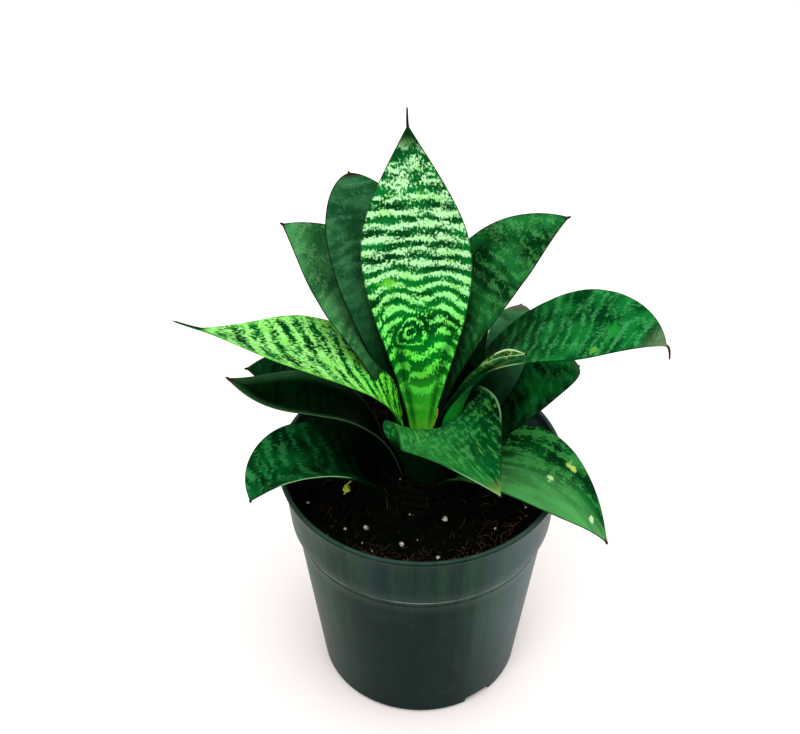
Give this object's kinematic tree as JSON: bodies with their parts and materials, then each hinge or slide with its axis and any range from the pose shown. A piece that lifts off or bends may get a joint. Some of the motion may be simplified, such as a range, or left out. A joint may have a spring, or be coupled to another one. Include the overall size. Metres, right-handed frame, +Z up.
{
  "type": "potted snake plant",
  "caption": "Low rosette snake plant with broad pointed, pale-banded dark green leaves, growing in a round tapered plastic nursery pot with drain notches at its foot.",
  "frame": {"origin": "centre of the pot's flat underside, on the surface that it stands on", "axes": "+Z up along the pot's axis, -Y towards the front, where the leaves leave the soil open to view, +X towards the long arching leaf"},
  "size_m": [0.1762, 0.11, 0.2418],
  "materials": {
    "pot_plastic": "satin",
    "potting_mix": "matte",
    "rhizome_skin": "matte",
    "dark_leaf": "satin",
    "bright_leaf": "satin"
  },
  "bodies": {
    "root": {"pot": "pot_plastic", "soil": "potting_mix", "rhizome": "rhizome_skin", "tall_leaf": "bright_leaf", "back_left_leaf": "dark_leaf", "back_right_leaf": "dark_leaf", "arching_right_leaf": "dark_leaf", "far_left_leaf": "dark_leaf", "bright_left_leaf": "bright_leaf", "front_leaf": "dark_leaf", "short_right_leaf": "dark_leaf", "dark_left_leaf": "dark_leaf", "low_right_leaf": "dark_leaf", "front_right_leaf": "dark_leaf", "under_left_leaf": "dark_leaf", "front_left_leaf": "dark_leaf"}
  },
  "joints": []
}
